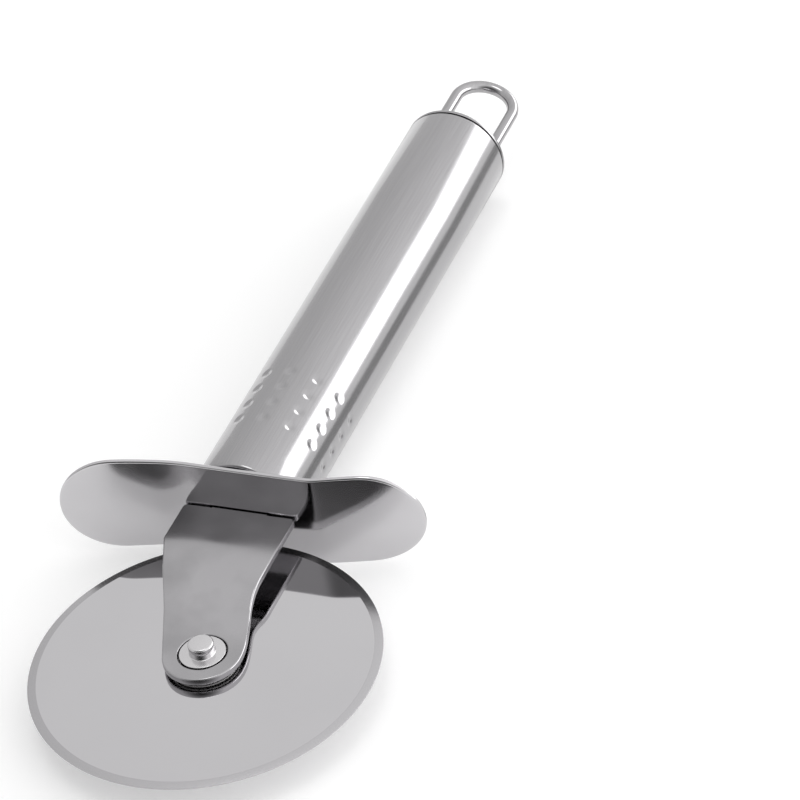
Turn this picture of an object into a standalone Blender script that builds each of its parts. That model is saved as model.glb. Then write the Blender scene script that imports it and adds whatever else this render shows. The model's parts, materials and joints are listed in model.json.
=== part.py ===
"""Pizza cutter: a steel wheel under a stamped arm, a dished finger guard and a tube handle with a loop.

The tool is drawn in its own frame. The handle's axis is the Y axis, with +Y towards the loop, X runs across
the wings of the guard, and Z is parallel to the wheel's axle, which stands level with the origin but to one
side. The empty rest_pose then lays the tool down as it lies on a table: on the lower edges of the two wings
and on the far end of the handle.
"""

from math import acos, atan2, ceil, cos, hypot, pi, radians, sin, sqrt

import bmesh
import bpy
from mathutils import Matrix, Vector

# Clearance that stands between two pieces that touch on the real tool
FIT_GAP = 0.0003
# How far a cutter runs past what it cuts
OVERRUN = 0.002
# Points closer than this are one point
WELD = 0.00001

# Cutting wheel
WHEEL_RADIUS = 0.034
WHEEL_THICKNESS = 0.0008
WHEEL_BEVEL = 0.0017
WHEEL_RIM_THICKNESS = 0.0002

# Axle: a body that passes through wheel and arm, a thinner stub above it and a wide head below it
AXLE_OFFSET = 0.0073
AXLE_RADIUS = 0.0045
STUB_RADIUS = 0.0025
STUB_LENGTH = 0.0024
STUB_CHAMFER = 0.0004
HEAD_WIDTH = 0.003
HEAD_THICKNESS = 0.0012
HEAD_CHAMFER = 0.0004

# Washers between arm, wheel and head
WASHER_WIDTH = 0.0018
WASHER_THICKNESS = 0.0003

# Arm that carries the wheel
ARM_THICKNESS = 0.0015
ARM_HALF_WIDTH = 0.0118
ARM_EYE_WALL = 0.003
ARM_NECK_REACH = 0.016
ARM_SQUARE_LENGTH = 0.0102
ARM_CORNER_RADIUS = 0.0008
ARM_EDGE_ROUND = 0.0003
JOGGLE_START = 0.0085
JOGGLE_LENGTH = 0.011
JOGGLE_RISE = 0.0027
TANG_LENGTH = 0.0165

# Finger guard
GUARD_CLEARANCE = 0.0028
GUARD_THICKNESS = 0.001
WAIST_MARGIN = 0.0003
WAIST_FLAT = 0.011
WING_CENTRE = 0.0258
WING_SWELL = 0.0003
WING_DISH = 0.0016
WING_SWEEP = 0.004
GUARD_CELL = 0.0028
GUARD_WELD = 0.0001

# Handle tube
HANDLE_RADIUS = 0.011
HANDLE_WALL = 0.0009
HANDLE_LENGTH = 0.1165
HANDLE_MOUTH_ROUND = 0.0003

# Rings of dimples pressed into the handle
DIMPLE_RADIUS = 0.0018
DIMPLE_DEPTH = 0.0004
DIMPLE_PITCH = 0.0047
DIMPLE_START = 0.0207

# Plug inside the handle that grips the tang
INSERT_LENGTH = 0.021
INSERT_WALL = 0.0033
INSERT_CHAMFER = 0.0008

# End cap
CAP_LIP = 0.0009
CAP_LIP_ROUND = 0.0004
CAP_SKIRT_WALL = 0.0008
CAP_SKIRT_DEPTH = 0.006

# Hanging loop
WIRE_RADIUS = 0.0013
LOOP_LEG_INSET = 0.0032
LOOP_REACH = 0.0255
LOOP_FOOT_LENGTH = 0.0016
LOOP_TURN = radians(17)

# Counts of pieces, sides and steps
DIMPLE_RINGS = 4
DIMPLES_PER_RING = 16
WHEEL_SIDES = 120
HANDLE_SIDES = 72
SMALL_SIDES = 40
WIRE_BEVEL_RESOLUTION = 4
END_ARC_STEPS = 28
WING_ARC_STEPS = 24
WAIST_STEPS = 14
CORNER_STEPS = 4
JOGGLE_STEPS = 12
NECK_STEPS = 6
EDGE_SEGMENTS = 1
LOOP_ARC_STEPS = 22
FOOT_ARC_STEPS = 5
DIMPLE_SIDES = 10
DIMPLE_ARC_STEPS = 2
SHARP_ANGLE = radians(32)
EDGE_ANGLE = radians(60)

# Distances from the axle's axis
WHEEL_BORE = AXLE_RADIUS + FIT_GAP
WASHER_RADIUS = WHEEL_BORE + WASHER_WIDTH
HEAD_RADIUS = AXLE_RADIUS + HEAD_WIDTH
ARM_END_RADIUS = WHEEL_BORE + ARM_EYE_WALL

# Heights above the wheel's middle plane
WASHER_HEIGHT = WHEEL_THICKNESS / 2 + FIT_GAP
ARM_INNER_HEIGHT = WASHER_HEIGHT + WASHER_THICKNESS + FIT_GAP
ARM_OUTER_HEIGHT = ARM_INNER_HEIGHT + ARM_THICKNESS
HEAD_DEPTH = ARM_INNER_HEIGHT + HEAD_THICKNESS

# The tang lies on the handle's axis, so the wheel's middle plane is this far below it
WHEEL_DROP = ARM_INNER_HEIGHT + ARM_THICKNESS / 2 + JOGGLE_RISE

# Stations along the handle
GUARD_REACH = WHEEL_RADIUS + GUARD_CLEARANCE
SHOULDER_REACH = GUARD_REACH - FIT_GAP
TAPER_START = SHOULDER_REACH - ARM_SQUARE_LENGTH
TANG_REACH = GUARD_REACH + TANG_LENGTH
TUBE_START = GUARD_REACH + GUARD_THICKNESS + FIT_GAP
TUBE_END = TUBE_START + HANDLE_LENGTH
LIP_START = TUBE_END + FIT_GAP
LIP_END = LIP_START + CAP_LIP

# Distances from the handle's axis
BORE_RADIUS = HANDLE_RADIUS - HANDLE_WALL
PLUG_RADIUS = BORE_RADIUS - FIT_GAP
SKIRT_INNER_RADIUS = PLUG_RADIUS - CAP_SKIRT_WALL
LOOP_HALF_WIDTH = SKIRT_INNER_RADIUS - LOOP_LEG_INSET
WAIST_HALF_HEIGHT = HANDLE_RADIUS + WAIST_MARGIN
WING_RADIUS = WAIST_HALF_HEIGHT + WING_SWELL
DISH_START = HANDLE_RADIUS + FIT_GAP

# The tang is as wide as the plug allows: its slot's corners keep the plug's wall
SLOT_THICKNESS = ARM_THICKNESS + 2 * FIT_GAP
SLOT_HALF_WIDTH = sqrt((PLUG_RADIUS - INSERT_WALL) ** 2 - (SLOT_THICKNESS / 2) ** 2)
TANG_HALF_WIDTH = SLOT_HALF_WIDTH - FIT_GAP

# The tool tips until the lower edges of the wings and of the cap's lip are level
REST_STATION = LIP_END - CAP_LIP_ROUND
REST_TILT = atan2(WING_RADIUS - HANDLE_RADIUS, REST_STATION - GUARD_REACH - WING_DISH)


def smooth_step(share):
    """Rises from 0 to 1 with level ends."""
    share = min(max(share, 0), 1)
    return share * share * (3 - 2 * share)


def arc(centre_x, centre_y, radius, start, end, steps):
    """Points of an arc from the start angle to the end angle, both ends included."""
    points = []
    for step in range(steps + 1):
        angle = start + (end - start) * step / steps
        points.append((centre_x + radius * cos(angle), centre_y + radius * sin(angle)))
    return points


def principled(name, colour, metallic, roughness):
    """A plain material with one colour and one roughness."""
    material = bpy.data.materials.new(name)
    material.use_nodes = True
    shader = material.node_tree.nodes["Principled BSDF"]
    shader.inputs["Base Color"].default_value = (*colour, 1)
    shader.inputs["Metallic"].default_value = metallic
    shader.inputs["Roughness"].default_value = roughness
    return material


def add_object(name, data, collection):
    """A new object that stands on the rest pose."""
    obj = bpy.data.objects.new(name, data)
    collection.objects.link(obj)
    obj.parent = bpy.data.objects["rest_pose"]
    return obj


def settle(obj, material=None):
    """Makes the object a welded mesh of what its curve or modifiers give, shaded by its angles."""
    bpy.context.view_layer.update()
    graph = bpy.context.evaluated_depsgraph_get()
    mesh = bpy.data.meshes.new_from_object(obj.evaluated_get(graph))
    collection = obj.users_collection[0]
    solid = bpy.data.objects.new(obj.name, mesh)
    collection.objects.link(solid)
    solid.parent = obj.parent
    solid.location = obj.location
    solid.rotation_euler = obj.rotation_euler
    name = obj.name
    bpy.data.objects.remove(obj)
    solid.name = name
    mesh.name = name
    weld(mesh)
    mesh.shade_smooth()
    mesh.set_sharp_from_angle(angle=SHARP_ANGLE)
    if material:
        mesh.materials.clear()
        mesh.materials.append(material)
    return solid


def weld(mesh):
    """Joins doubled points and turns all faces outwards."""
    bm = bmesh.new()
    bm.from_mesh(mesh)
    bmesh.ops.remove_doubles(bm, verts=bm.verts, dist=WELD)
    bmesh.ops.recalc_face_normals(bm, faces=bm.faces)
    bm.to_mesh(mesh)
    bm.free()


def turned(name, profile, sides, collection):
    """A round piece on its own Z axis. The closed profile of (radius, height) runs down its outer side."""
    mesh = bpy.data.meshes.new(name)
    bm = bmesh.new()
    corners = [bm.verts.new((radius, 0, height)) for radius, height in profile]
    for here, there in zip(corners, corners[1:] + corners[:1]):
        if max(here.co.x, there.co.x) > WELD:
            bm.edges.new((here, there))
    bm.to_mesh(mesh)
    bm.free()
    obj = add_object(name, mesh, collection)
    screw = obj.modifiers.new("turn", "SCREW")
    screw.steps = sides
    screw.render_steps = sides
    screw.use_merge_vertices = True
    screw.merge_threshold = WELD
    return obj


def along_handle(obj):
    """Lays a round piece so that its own Z runs along the handle."""
    obj.rotation_euler = (-pi / 2, 0, 0)
    return obj


def flat_outline(name, loops, thickness, collection):
    """A sheet in its own XY plane, filled between closed loops of points."""
    curve = bpy.data.curves.new(name, "CURVE")
    curve.dimensions = "2D"
    curve.fill_mode = "BOTH"
    curve.extrude = thickness / 2
    for points in loops:
        spline = curve.splines.new("POLY")
        spline.points.add(len(points) - 1)
        for point, (x, y) in zip(spline.points, points):
            point.co = (x, y, 0, 1)
        spline.use_cyclic_u = True
    return settle(add_object(name, curve, collection))


def cut(obj, cutter):
    """Takes the cutter's solid out of the object."""
    boolean = obj.modifiers.new("cut", "BOOLEAN")
    boolean.operation = "DIFFERENCE"
    boolean.solver = "EXACT"
    boolean.object = cutter
    return obj


def soften(obj, width):
    """Rounds the square edges of a sheet."""
    bevel = obj.modifiers.new("edge", "BEVEL")
    bevel.width = width
    bevel.segments = EDGE_SEGMENTS
    bevel.limit_method = "ANGLE"
    bevel.angle_limit = EDGE_ANGLE
    bevel.use_clamp_overlap = False


def box_cutter(name, centre, size, cutters):
    """A box that cuts, of the given size round its centre."""
    mesh = bpy.data.meshes.new(name)
    bm = bmesh.new()
    bmesh.ops.create_cube(bm, size=1, matrix=Matrix.Diagonal((*size, 1)))
    bm.to_mesh(mesh)
    bm.free()
    box = add_object(name, mesh, cutters)
    box.location = centre
    hide_cutter(box)
    return box


def hide_cutter(obj):
    """Keeps a cutter out of renders and shows it as wire."""
    obj.hide_render = True
    obj.display_type = "WIRE"


def on_axle(obj, height=0):
    """Stands a round piece on the axle, its own zero at a height above the wheel's middle plane."""
    obj.location = (AXLE_OFFSET, 0, height - WHEEL_DROP)
    return obj


def make_wheel(parts, material):
    """Disc with a flat body, a ground bevel on both sides and a bore that runs on the axle."""
    half = WHEEL_THICKNESS / 2
    rim = WHEEL_RIM_THICKNESS / 2
    shoulder = WHEEL_RADIUS - WHEEL_BEVEL
    profile = [
        (WHEEL_BORE, half),
        (shoulder, half),
        (WHEEL_RADIUS, rim),
        (WHEEL_RADIUS, -rim),
        (shoulder, -half),
        (WHEEL_BORE, -half),
    ]
    return settle(on_axle(turned("cutting_wheel", profile, WHEEL_SIDES, parts)), material)


def make_axle(parts, material):
    """Turned axle: its body ends level with the arm's outer face, its stub stands out of it."""
    body = ARM_OUTER_HEIGHT
    tip = body + STUB_LENGTH
    profile = [
        (0, tip),
        (STUB_RADIUS - STUB_CHAMFER, tip),
        (STUB_RADIUS, tip - STUB_CHAMFER),
        (STUB_RADIUS, body),
        (AXLE_RADIUS, body),
        (AXLE_RADIUS, -ARM_INNER_HEIGHT),
        (HEAD_RADIUS, -ARM_INNER_HEIGHT),
        (HEAD_RADIUS, HEAD_CHAMFER - HEAD_DEPTH),
        (HEAD_RADIUS - HEAD_CHAMFER, -HEAD_DEPTH),
        (0, -HEAD_DEPTH),
    ]
    return settle(on_axle(turned("axle_pin", profile, SMALL_SIDES, parts)), material)


def make_washer(name, side, parts, material):
    """Thin ring between the wheel and the arm above it or the axle's head below it."""
    half = WASHER_THICKNESS / 2
    profile = [
        (WHEEL_BORE, half),
        (WASHER_RADIUS, half),
        (WASHER_RADIUS, -half),
        (WHEEL_BORE, -half),
    ]
    washer = turned(name, profile, SMALL_SIDES, parts)
    return settle(on_axle(washer, side * (WASHER_HEIGHT + half)), material)


def shoulder_corner():
    """Rounded corner of the arm's right shoulder, which bears on the guard."""
    radius = ARM_CORNER_RADIUS
    return arc(ARM_HALF_WIDTH - radius, SHOULDER_REACH - radius, radius, 0, pi / 2, CORNER_STEPS)


def arm_outline():
    """Flat blank: round end on the axle, nearly straight right side, tang, and tapering left side."""
    across = AXLE_OFFSET + ARM_HALF_WIDTH
    swing = acos(ARM_END_RADIUS / hypot(across, TAPER_START))
    tangent = atan2(TAPER_START, -across) + swing
    round_end = arc(AXLE_OFFSET, 0, ARM_END_RADIUS, tangent, 2 * pi, END_ARC_STEPS)
    neck = []
    widest = AXLE_OFFSET + ARM_END_RADIUS
    for step in range(1, NECK_STEPS + 1):
        share = step / NECK_STEPS
        neck.append((widest + (ARM_HALF_WIDTH - widest) * smooth_step(share), ARM_NECK_REACH * share))
    corner = shoulder_corner()
    tang = [(TANG_HALF_WIDTH, SHOULDER_REACH), (TANG_HALF_WIDTH, TANG_REACH)]
    left = [(-x, y) for x, y in reversed(corner + tang)]
    return round_end + neck + corner + tang + left + [(-ARM_HALF_WIDTH, TAPER_START)]


def make_arm(name, parts, material):
    """Stamped arm: flat blank with a round hole for the axle, then joggled down to the wheel."""
    hole = arc(AXLE_OFFSET, 0, WHEEL_BORE, 0, 2 * pi, SMALL_SIDES)[:-1]
    arm = flat_outline(name, [arm_outline(), hole], ARM_THICKNESS, parts)
    bm = bmesh.new()
    bm.from_mesh(arm.data)
    bmesh.ops.dissolve_limit(bm, angle_limit=WELD, verts=bm.verts, edges=bm.edges)
    for step in range(JOGGLE_STEPS + 1):
        station = JOGGLE_START + JOGGLE_LENGTH * step / JOGGLE_STEPS
        everything = bm.verts[:] + bm.edges[:] + bm.faces[:]
        bmesh.ops.bisect_plane(
            bm, geom=everything, dist=WELD, plane_co=(0, station, 0), plane_no=(0, 1, 0)
        )
    for vert in bm.verts:
        bend = smooth_step((vert.co.y - JOGGLE_START) / JOGGLE_LENGTH)
        vert.co.z += JOGGLE_RISE * (bend - 1)
    bm.to_mesh(arm.data)
    bm.free()
    soften(arm, ARM_EDGE_ROUND)
    return settle(arm, material)


def guard_outline():
    """Bone shape: two round wings joined by a narrower waist, symmetric both ways."""
    wave = []
    for step in range(WAIST_STEPS + 1):
        x = WING_CENTRE * (1 - 2 * step / WAIST_STEPS)
        swell = smooth_step((abs(x) - WAIST_FLAT) / (WING_CENTRE - WAIST_FLAT))
        wave.append((x, WAIST_HALF_HEIGHT + (WING_RADIUS - WAIST_HALF_HEIGHT) * swell))
    left = arc(-WING_CENTRE, 0, WING_RADIUS, pi / 2, 3 * pi / 2, WING_ARC_STEPS)
    half = wave[:-1] + left[:-1]
    return half + [(-x, -y) for x, y in half]


def wing_dish(x, z):
    """How far the guard leans towards the hand at a place on its outline.

    Each wing is dished towards the hand. As a whole the right one leans towards the hand too, and the left
    one towards the wheel.
    """
    start = smooth_step((abs(x) - DISH_START) / (WING_CENTRE - DISH_START))
    beyond = max(abs(x) - WING_CENTRE, 0)
    dish = WING_DISH * (beyond * beyond + start * z * z) / (WING_RADIUS * WING_RADIUS)
    return dish + WING_SWEEP * start * x / (WING_CENTRE + WING_RADIUS)


def slice_sheet(bm, reach, normal):
    """Cuts a flat sheet into strips of about one cell across the given direction."""
    count = 2 * ceil(reach / GUARD_CELL)
    for step in range(1, count):
        place = normal * (reach * (2 * step / count - 1))
        everything = bm.verts[:] + bm.edges[:] + bm.faces[:]
        bmesh.ops.bisect_plane(bm, geom=everything, dist=WELD, plane_co=place, plane_no=normal)


def make_guard(parts, cutters, material):
    """Sheet-metal guard: flat between arm and tube, dished wings, and a slot for the arm's tang."""
    guard = flat_outline("finger_guard", [guard_outline()], 0, parts)
    bm = bmesh.new()
    bm.from_mesh(guard.data)
    bmesh.ops.dissolve_limit(bm, angle_limit=WELD, verts=bm.verts, edges=bm.edges)
    slice_sheet(bm, WING_CENTRE + WING_RADIUS, Vector((1, 0, 0)))
    slice_sheet(bm, WING_RADIUS, Vector((0, 1, 0)))
    bmesh.ops.remove_doubles(bm, verts=bm.verts, dist=GUARD_WELD)
    for vert in bm.verts:
        vert.co.z = -wing_dish(vert.co.x, vert.co.y)
    back = bmesh.ops.extrude_face_region(bm, geom=bm.faces[:], use_keep_orig=True)
    back_verts = [item for item in back["geom"] if isinstance(item, bmesh.types.BMVert)]
    bmesh.ops.translate(bm, verts=back_verts, vec=(0, 0, -GUARD_THICKNESS))
    bm.to_mesh(guard.data)
    bm.free()
    guard.rotation_euler = (pi / 2, 0, 0)
    guard.location = (0, GUARD_REACH, 0)
    slot = (2 * SLOT_HALF_WIDTH, GUARD_THICKNESS + 2 * OVERRUN, SLOT_THICKNESS)
    centre = (0, GUARD_REACH + GUARD_THICKNESS / 2, 0)
    cut(guard, box_cutter("guard_slot", centre, slot, cutters))
    return settle(guard, material)


def dimple_punches(cutters):
    """One mesh of all the round-nosed punches that press the dimples, each square to the handle's axis."""
    ball = (DIMPLE_RADIUS ** 2 + DIMPLE_DEPTH ** 2) / (2 * DIMPLE_DEPTH)
    swing = atan2(DIMPLE_RADIUS, ball - DIMPLE_DEPTH)
    nose = arc(0, ball - DIMPLE_DEPTH, ball, swing - pi / 2, -pi / 2, DIMPLE_ARC_STEPS)
    profile = [(0, OVERRUN), (DIMPLE_RADIUS, OVERRUN)] + nose[:-1] + [(0, -DIMPLE_DEPTH)]
    punch = settle(turned("dimple_punch", profile, DIMPLE_SIDES, cutters))
    mesh = bpy.data.meshes.new("dimple_punches")
    bm = bmesh.new()
    for ring in range(DIMPLE_RINGS):
        height = DIMPLE_START + ring * DIMPLE_PITCH
        out = Matrix.Translation((HANDLE_RADIUS, 0, height)) @ Matrix.Rotation(pi / 2, 4, "Y")
        for turn in range(DIMPLES_PER_RING):
            copy = punch.data.copy()
            copy.transform(Matrix.Rotation(2 * pi * turn / DIMPLES_PER_RING, 4, "Z") @ out)
            bm.from_mesh(copy)
            bpy.data.meshes.remove(copy)
    bm.to_mesh(mesh)
    bm.free()
    bpy.data.objects.remove(punch)
    punches = add_object("dimple_punches", mesh, cutters)
    hide_cutter(punches)
    return punches


def make_handle(parts, cutters, material):
    """Straight open tube with lightly rounded mouths and rings of pressed dimples."""
    nose = HANDLE_MOUTH_ROUND
    profile = [
        (BORE_RADIUS, HANDLE_LENGTH),
        (HANDLE_RADIUS - nose, HANDLE_LENGTH),
        (HANDLE_RADIUS, HANDLE_LENGTH - nose),
        (HANDLE_RADIUS, nose),
        (HANDLE_RADIUS - nose, 0),
        (BORE_RADIUS, 0),
    ]
    tube = along_handle(turned("handle_tube", profile, HANDLE_SIDES, parts))
    tube.location.y = TUBE_START
    punches = along_handle(dimple_punches(cutters))
    punches.location.y = TUBE_START
    return settle(cut(tube, punches), material)


def make_insert(parts, cutters, material):
    """Plug in the handle's mouth, with a slot for the arm's tang."""
    profile = [
        (0, INSERT_LENGTH),
        (PLUG_RADIUS - INSERT_CHAMFER, INSERT_LENGTH),
        (PLUG_RADIUS, INSERT_LENGTH - INSERT_CHAMFER),
        (PLUG_RADIUS, 0),
        (0, 0),
    ]
    plug = along_handle(turned("handle_insert", profile, SMALL_SIDES, parts))
    plug.location.y = TUBE_START
    depth = TANG_REACH + FIT_GAP - TUBE_START
    slot = (2 * SLOT_HALF_WIDTH, depth + OVERRUN, SLOT_THICKNESS)
    centre = (0, TUBE_START + (depth - OVERRUN) / 2, 0)
    cut(plug, box_cutter("insert_slot", centre, slot, cutters))
    return settle(plug, material)


def make_cap(parts, cutters, material):
    """Drawn cap: a lip as wide as the tube, a skirt inside it and two holes for the loop's legs."""
    skirt_end = LIP_START - CAP_SKIRT_DEPTH
    profile = [
        (0, LIP_END),
        (HANDLE_RADIUS - CAP_LIP_ROUND, LIP_END),
        (HANDLE_RADIUS, LIP_END - CAP_LIP_ROUND),
        (HANDLE_RADIUS, LIP_START),
        (PLUG_RADIUS, LIP_START),
        (PLUG_RADIUS, skirt_end),
        (SKIRT_INNER_RADIUS, skirt_end),
        (SKIRT_INNER_RADIUS, LIP_START),
        (0, LIP_START),
    ]
    cap = along_handle(turned("end_cap", profile, HANDLE_SIDES, parts))
    for name, side in (("near", 1), ("far", -1)):
        drill = bpy.data.meshes.new("leg_hole_" + name)
        bm = bmesh.new()
        bmesh.ops.create_cone(
            bm,
            cap_ends=True,
            segments=SMALL_SIDES,
            radius1=WIRE_RADIUS + FIT_GAP,
            radius2=WIRE_RADIUS + FIT_GAP,
            depth=CAP_LIP + 2 * OVERRUN,
        )
        bm.to_mesh(drill)
        bm.free()
        hole = along_handle(add_object("leg_hole_" + name, drill, cutters))
        across = side * LOOP_HALF_WIDTH
        hole.location = (across * cos(LOOP_TURN), LIP_START, -across * sin(LOOP_TURN))
        hide_cutter(hole)
        cut(cap, hole)
    return settle(cap, material)


def loop_side():
    """Centre line of one leg in the loop's plane, from the tip of its foot up through the cap."""
    bend = WIRE_RADIUS + FIT_GAP
    foot = arc(LOOP_HALF_WIDTH - bend, LIP_START, bend, -pi / 2, 0, FOOT_ARC_STEPS)
    tip = (foot[0][0] - LOOP_FOOT_LENGTH, foot[0][1])
    return [tip] + foot


def make_loop(parts, material):
    """Round wire bent to a U, its legs ending in short feet turned inwards under the cap."""
    right = loop_side()
    bow_centre = TUBE_END + LOOP_REACH - LOOP_HALF_WIDTH - WIRE_RADIUS
    bow = arc(0, bow_centre, LOOP_HALF_WIDTH, 0, pi, LOOP_ARC_STEPS)
    left = [(-x, y) for x, y in reversed(right)]
    curve = bpy.data.curves.new("hanging_loop", "CURVE")
    curve.dimensions = "3D"
    curve.bevel_depth = WIRE_RADIUS
    curve.bevel_resolution = WIRE_BEVEL_RESOLUTION
    curve.use_fill_caps = True
    route = right + bow + left
    spline = curve.splines.new("POLY")
    spline.points.add(len(route) - 1)
    for point, (x, y) in zip(spline.points, route):
        point.co = (x, y, 0, 1)
    loop = add_object("hanging_loop", curve, parts)
    loop.rotation_euler = (0, LOOP_TURN, 0)
    return settle(loop, material)


def rest_pose():
    """Empty that carries the whole tool, tipped and lifted so that it lies on the ground plane."""
    pose = bpy.data.objects.new("rest_pose", None)
    bpy.context.scene.collection.objects.link(pose)
    middle = (TUBE_END + LOOP_REACH - WHEEL_RADIUS) / 2
    right = max(AXLE_OFFSET + WHEEL_RADIUS, WING_CENTRE + WING_RADIUS)
    across = (right - WING_CENTRE - WING_RADIUS) / 2
    along = middle * cos(REST_TILT) - WHEEL_DROP * sin(REST_TILT)
    height = HANDLE_RADIUS * cos(REST_TILT) + REST_STATION * sin(REST_TILT)
    pose.rotation_euler = (-REST_TILT, 0, 0)
    pose.location = (-across, -along, height)
    return pose


def clear_scene():
    """Removes what the scene holds."""
    for obj in list(bpy.data.objects):
        bpy.data.objects.remove(obj)


def main():
    """Builds the whole tool."""
    clear_scene()
    parts = bpy.data.collections.new("pizza_cutter")
    cutters = bpy.data.collections.new("cutters")
    bpy.context.scene.collection.children.link(parts)
    bpy.context.scene.collection.children.link(cutters)
    rest_pose()

    mirror_steel = principled("mirror_steel", (0.62, 0.61, 0.62), 1, 0.08)
    satin_steel = principled("satin_steel", (0.66, 0.65, 0.66), 1, 0.3)
    bright_wire = principled("bright_wire", (0.68, 0.67, 0.68), 1, 0.15)
    turned_steel = principled("turned_steel", (0.72, 0.71, 0.72), 1, 0.22)
    pale_nylon = principled("pale_nylon", (0.8, 0.8, 0.78), 0, 0.5)
    dark_nylon = principled("dark_nylon", (0.06, 0.06, 0.06), 0, 0.55)

    make_wheel(parts, mirror_steel)
    make_axle(parts, turned_steel)
    make_washer("spacer_washer_upper", 1, parts, pale_nylon)
    make_washer("spacer_washer_lower", -1, parts, pale_nylon)
    make_arm("wheel_arm", parts, mirror_steel)
    make_guard(parts, cutters, mirror_steel)
    make_handle(parts, cutters, satin_steel)
    make_insert(parts, cutters, dark_nylon)
    make_cap(parts, cutters, satin_steel)
    make_loop(parts, bright_wire)


if __name__ == "__main__":
    main()
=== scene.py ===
"""Polished pieces, finishes and studio for a steel pizza cutter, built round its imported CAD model."""

import json
from math import acos, atan2, cos, hypot, pi, radians, sin, sqrt, tan

import bmesh
import bpy
from bpy.props import FloatProperty, FloatVectorProperty, IntProperty, PointerProperty
from mathutils import Matrix, Quaternion, Vector


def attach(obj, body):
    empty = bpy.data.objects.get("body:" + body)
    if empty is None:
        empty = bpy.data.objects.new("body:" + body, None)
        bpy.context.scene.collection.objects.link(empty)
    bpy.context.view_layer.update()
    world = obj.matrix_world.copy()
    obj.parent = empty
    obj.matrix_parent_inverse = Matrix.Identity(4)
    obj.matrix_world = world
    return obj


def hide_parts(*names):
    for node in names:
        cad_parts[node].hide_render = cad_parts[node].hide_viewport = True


bl_info = {
    "name": "Pizza Cutter",
    "version": (1, 0, 0),
    "blender": (4, 5, 0),
    "location": "3D View > Sidebar > Pizza Cutter",
    "description": "Builds the polished pieces of a pizza cutter, their finishes and a studio round them",
    "category": "Object",
}

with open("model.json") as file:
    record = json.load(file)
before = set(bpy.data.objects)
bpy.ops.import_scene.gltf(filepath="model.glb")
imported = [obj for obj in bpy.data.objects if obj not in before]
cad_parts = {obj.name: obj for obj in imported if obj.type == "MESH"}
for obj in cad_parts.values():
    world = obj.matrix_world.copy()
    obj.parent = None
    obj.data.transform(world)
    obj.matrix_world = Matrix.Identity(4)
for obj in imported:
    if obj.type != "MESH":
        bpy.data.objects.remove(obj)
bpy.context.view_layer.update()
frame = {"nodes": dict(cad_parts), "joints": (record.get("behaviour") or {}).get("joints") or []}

# Axle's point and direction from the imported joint
SPIN = frame["joints"][0]
AXLE_POINT = Vector(SPIN["pos_m"])
AXLE_AXIS = Vector(SPIN["axis"]).normalized()
ACROSS = Vector((1, 0, 0))
ALONG = AXLE_AXIS.cross(ACROSS)

# Points closer than this are one point
WELD = 0.000004
# Clearance between pieces that touch on the real tool
FIT_GAP = 0.0003
# Steps of the curves
RIM_STEPS = 3
ROUND_STEPS = 4
CORNER_STEPS = 8
FOOT_STEPS = 12
NECK_STEPS = 24
JOGGLE_STEPS = 24
HOLE_STEPS = 48
FLOOR_STEPS = 64
BOW_STEPS = 64
DIMPLE_ROWS = 66
EYE_STEPS = 72
# Faces that meet at less than this are joined
FLAT_ANGLE = radians(1)
# Edges that turn more than this stay crisp
SHARP_ANGLE = radians(40)
# Edges of the arm that turn more than this are rounded
RIM_ANGLE = radians(60)
# Noise values between which most patterns change
PATTERN_START = 0.35
PATTERN_END = 0.65
# Directions from the tool
SOFTBOX_WAY = (0.71, 0.68, 0.22)
PATCH_WAY = (0.1, -0.93, 0.36)
# Where the photograph was taken from
CAMERA_PLACE = (0.34834, -0.61504, 0.56852)
CAMERA_TURN = (0.890602, 0.409148, 0.146476, 0.134053)
WHITE = (1, 1, 1, 1)


def length(name, description, default):
    """A length that the user can change in the sidebar."""
    return FloatProperty(
        name=name, description=description, default=default, min=0, unit="LENGTH", precision=5
    )


def count(name, description, default):
    """A number of sides or copies."""
    return IntProperty(name=name, description=description, default=default, min=1)


def colour(name, description, default):
    """A colour of a finish."""
    return FloatVectorProperty(
        name=name, description=description, default=default, size=3, subtype="COLOR", min=0, max=1
    )


def share(name, description, default):
    """A plain number between nought and one."""
    return FloatProperty(name=name, description=description, default=default, min=0, max=1)


def level(name, description, default):
    """A plain number without an upper end."""
    return FloatProperty(name=name, description=description, default=default, min=0)


class PizzaCutterWheel(bpy.types.PropertyGroup):
    """Sizes of the cutting wheel."""

    radius: length("Radius", "Radius of the wheel", 0.034)
    thickness: length("Thickness", "Thickness of the disc", 0.0008)
    bevel_width: length("Bevel", "Width of the ground bevel", 0.0017)
    rim_thickness: length("Rim", "Thickness left at the rim", 0.0002)
    sides: count("Sides", "Steps round the wheel", 384)


class PizzaCutterAxle(bpy.types.PropertyGroup):
    """Sizes of the axle and of its place."""

    offset: length("Offset", "From the handle's axis sideways to the axle", 0.0073)
    drop: length("Drop", "From the handle's axis down to the wheel's middle plane", 0.00475)
    radius: length("Radius", "Radius of the body in the arm and the wheel", 0.0045)
    stub_radius: length("Stub radius", "Radius of the stub above the arm", 0.0025)
    stub_length: length("Stub length", "Height of the stub above the arm", 0.0024)
    stub_chamfer: length("Stub chamfer", "Rounded edge of the stub", 0.0004)
    head_width: length("Head width", "How far the head under the wheel stands out", 0.003)
    head_thickness: length("Head thickness", "Thickness of the head", 0.0012)
    sides: count("Sides", "Steps round the axle", 96)


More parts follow.
